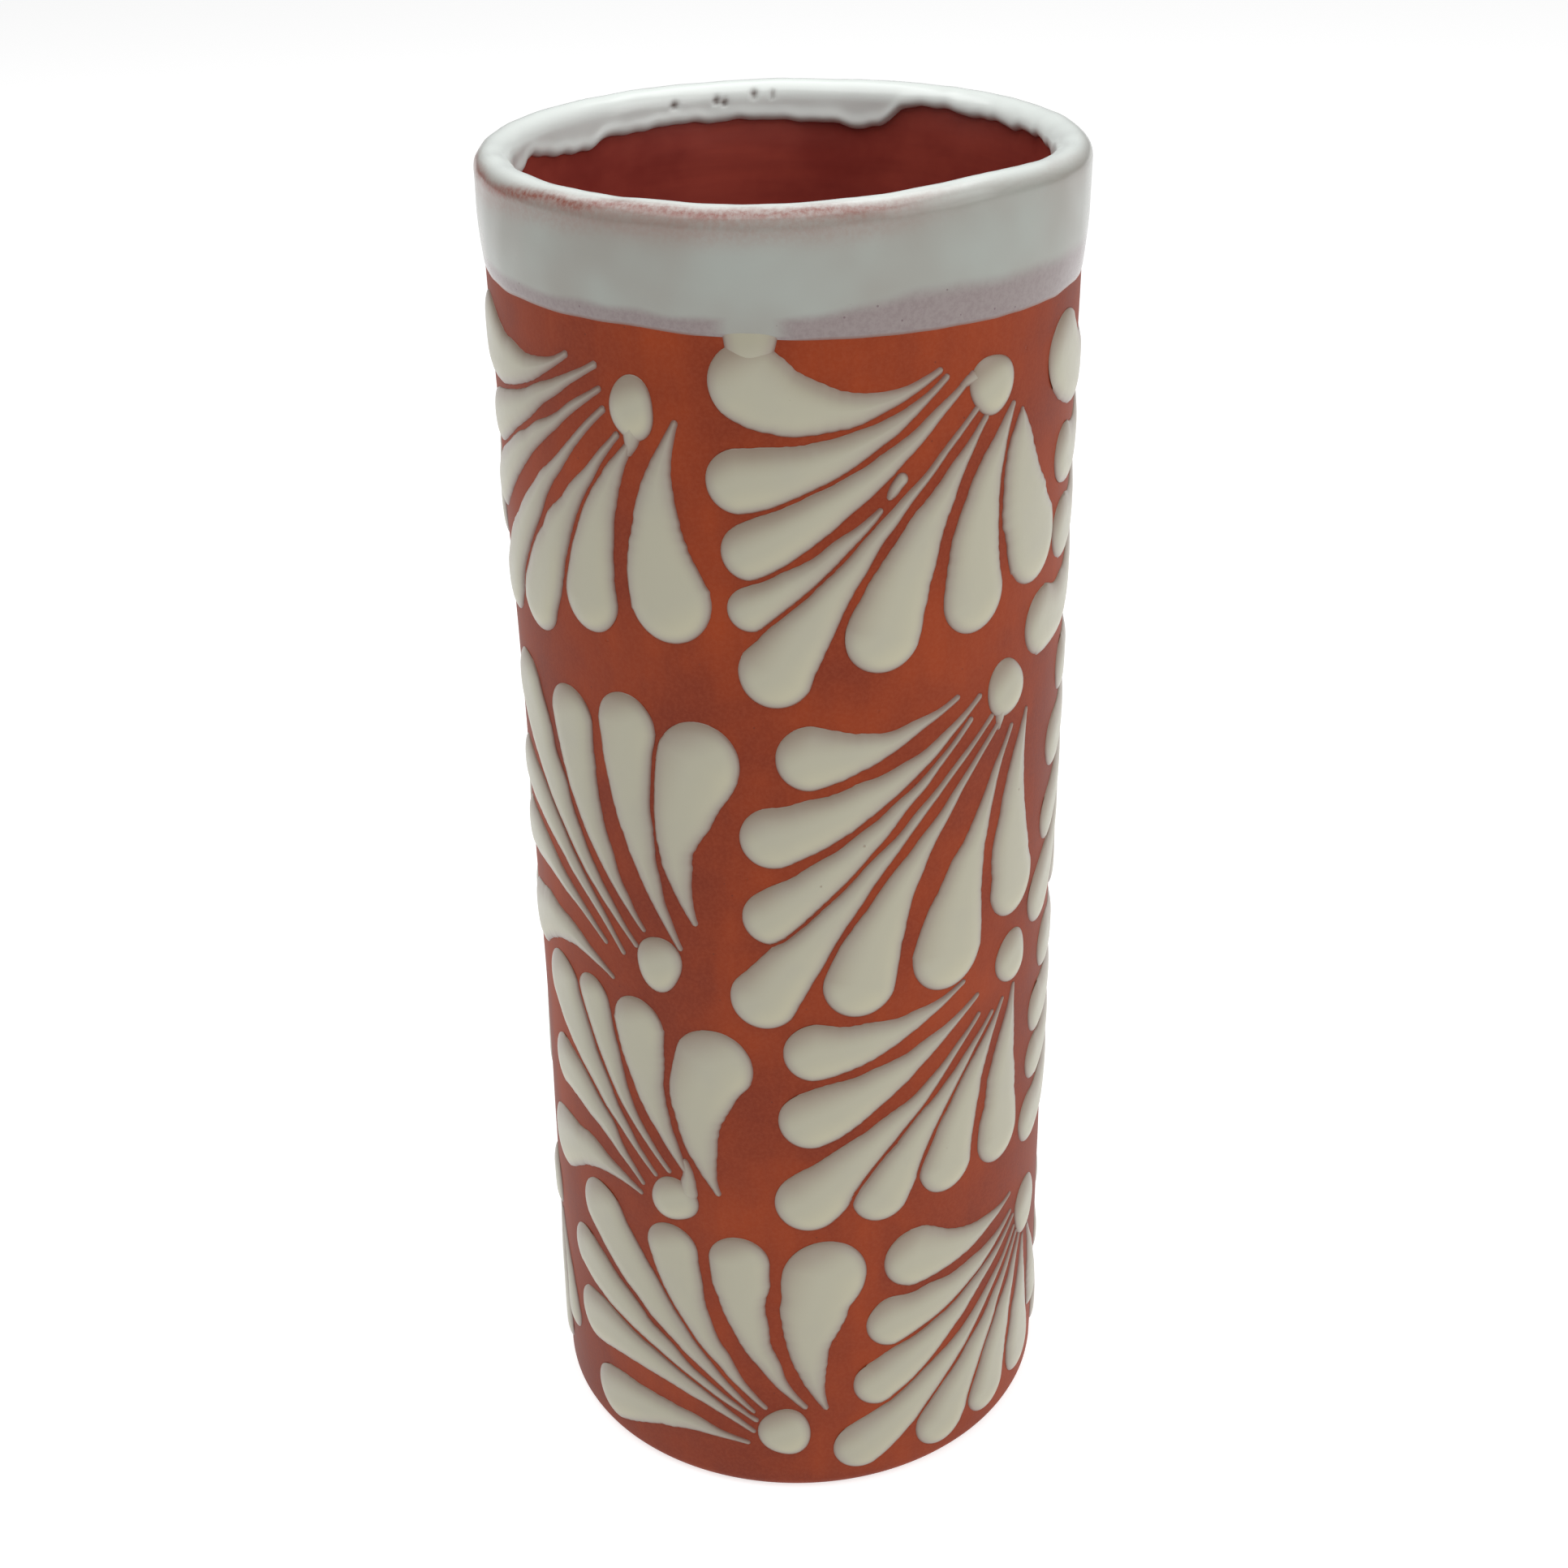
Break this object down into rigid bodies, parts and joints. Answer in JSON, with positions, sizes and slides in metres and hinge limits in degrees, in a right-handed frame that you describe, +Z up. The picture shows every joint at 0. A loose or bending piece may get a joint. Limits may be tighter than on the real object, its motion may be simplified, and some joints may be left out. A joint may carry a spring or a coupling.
{
  "type": "cylindrical pottery vase",
  "caption": "Straight-sided red clay vase with a dipped white rim and raised fans of teardrop slip strokes, each gathered under a dot.",
  "frame": {"origin": "middle of the flat base, on the surface the vase stands on", "axes": "+Z up along the vase's axis, -Y towards the painted side that is seen, +X to its right"},
  "size_m": [0.0817, 0.0808, 0.2006],
  "materials": {
    "clay": "satin, burnished red clay, unglazed outside",
    "lining_glaze": "clear glossy glaze over red clay",
    "white_glaze": "glossy white tin glaze, thin and lilac at its edge",
    "slip": "raised off-white slip under gloss glaze"
  },
  "bodies": {
    "root": {"clay_body": "clay", "inner_glaze": "lining_glaze", "rim_glaze": "white_glaze", "fan_row1_col1": "slip", "dot_row1_col1": "slip", "fan_row2_col1": "slip", "dot_row2_col1": "slip", "fan_row3_col1": "slip", "dot_row3_col1": "slip", "fan_row4_col1": "slip", "dot_row4_col1": "slip", "fan_row1_col2": "slip", "dot_row1_col2": "slip", "fan_row2_col2": "slip", "dot_row2_col2": "slip", "fan_row3_col2": "slip", "dot_row3_col2": "slip", "fan_row4_col2": "slip", "dot_row4_col2": "slip", "fan_row1_col3": "slip", "dot_row1_col3": "slip", "fan_row2_col3": "slip", "dot_row2_col3": "slip", "fan_row3_col3": "slip", "dot_row3_col3": "slip", "fan_row4_col3": "slip", "dot_row4_col3": "slip", "fan_row1_col4": "slip", "dot_row1_col4": "slip", "fan_row2_col4": "slip", "dot_row2_col4": "slip", "fan_row3_col4": "slip", "dot_row3_col4": "slip", "fan_row4_col4": "slip", "dot_row4_col4": "slip", "fan_row1_col5": "slip", "dot_row1_col5": "slip", "fan_row2_col5": "slip", "dot_row2_col5": "slip", "fan_row3_col5": "slip", "dot_row3_col5": "slip", "fan_row4_col5": "slip", "dot_row4_col5": "slip"}
  },
  "joints": []
}
